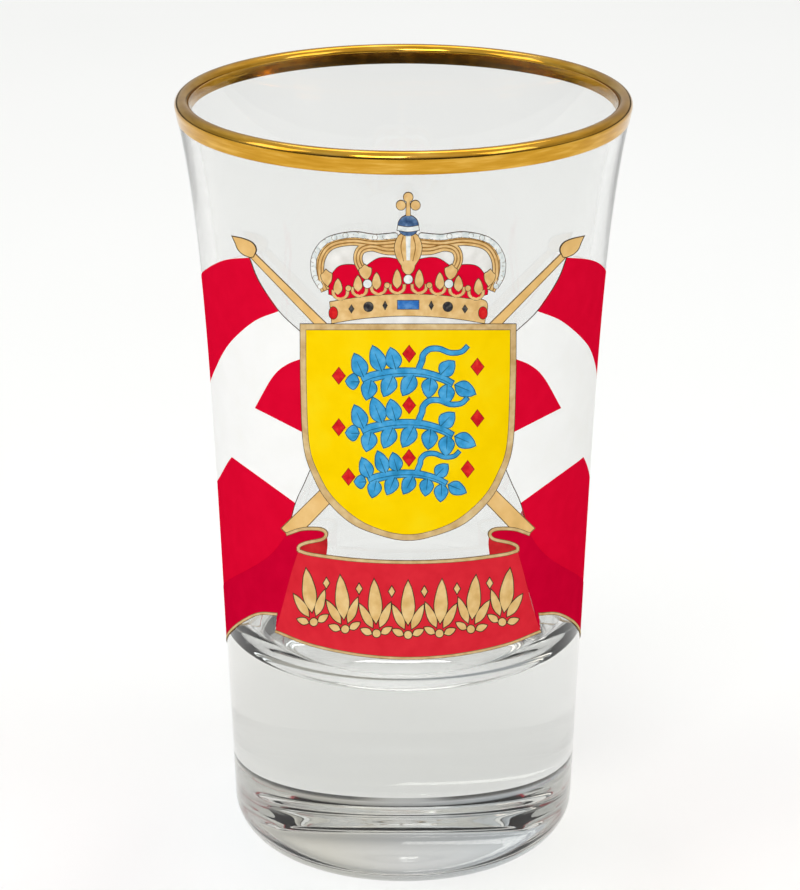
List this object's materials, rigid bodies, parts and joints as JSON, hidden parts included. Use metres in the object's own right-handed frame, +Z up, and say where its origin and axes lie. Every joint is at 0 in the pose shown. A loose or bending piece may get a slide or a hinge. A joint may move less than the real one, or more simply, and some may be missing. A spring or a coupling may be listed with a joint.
{
  "type": "shot glass",
  "caption": "Tall flared souvenir shot glass with a heavy solid base, a fired gold rim and a fired enamel picture of draped flags, a shield, a crown and a ribbon.",
  "frame": {"origin": "middle of the foot, on the surface that the glass stands on", "axes": "+Z up along the glass's axis, the picture faces -Y, +X to the right of someone who looks at the picture"},
  "size_m": [0.0458, 0.0458, 0.0801],
  "materials": {
    "clear_glass": "polished, clear, pressed and fire-polished",
    "fired_gold": "bright fired gold lustre, worn a little on the lip",
    "white_enamel": "opaque fired white, gloss",
    "red_enamel": "opaque fired crimson, gloss",
    "deep_red_enamel": "opaque fired deep red, gloss",
    "ribbon_red_enamel": "opaque fired warm red, gloss",
    "yellow_enamel": "opaque fired yellow, gloss",
    "blue_enamel": "opaque fired light blue with a darker edge, gloss",
    "gold_print": "fired gold-coloured print with dark key lines, satin",
    "wood_tan_enamel": "opaque fired tan with a dark key line, gloss",
    "dark_enamel": "opaque fired near black, gloss"
  },
  "bodies": {
    "root": {"glass_body": "clear_glass", "rim_gold": "fired_gold", "ribbon_palmettes": "gold_print", "ribbon_edging": "gold_print", "ribbon_front": "ribbon_red_enamel", "ribbon_inner_fold_left": "deep_red_enamel", "ribbon_inner_fold_right": "deep_red_enamel", "ribbon_tail_left": "deep_red_enamel", "ribbon_tail_right": "deep_red_enamel", "crown_knobs": "gold_print", "crown_orb_belt": "gold_print", "crown_orb": "blue_enamel", "crown_pearls": "white_enamel", "crown_leaf_points": "gold_print", "crown_blue_stone": "blue_enamel", "crown_red_stones": "red_enamel", "crown_dark_stones": "dark_enamel", "crown_band": "gold_print", "crown_hem": "white_enamel", "crown_beads": "gold_print", "crown_middle_arch": "gold_print", "crown_inner_arches": "gold_print", "crown_outer_arches": "gold_print", "crown_cap_right": "red_enamel", "crown_cap_left": "red_enamel", "crown_lining": "white_enamel", "shield_lozenges": "red_enamel", "shield_sprig_top": "blue_enamel", "shield_sprig_middle": "blue_enamel", "shield_sprig_low": "blue_enamel", "shield_field": "yellow_enamel", "shield_rim": "gold_print", "flag_finial_left": "wood_tan_enamel", "flag_finial_right": "wood_tan_enamel", "flag_pole_left": "wood_tan_enamel", "flag_pole_right": "wood_tan_enamel", "flag_red_top_left": "red_enamel", "flag_red_middle_left": "red_enamel", "flag_red_low_left": "red_enamel", "flag_white_left": "white_enamel", "flag_red_top_right": "red_enamel", "flag_red_middle_right": "red_enamel", "flag_red_low_right": "red_enamel", "flag_white_right": "white_enamel"}
  },
  "joints": []
}
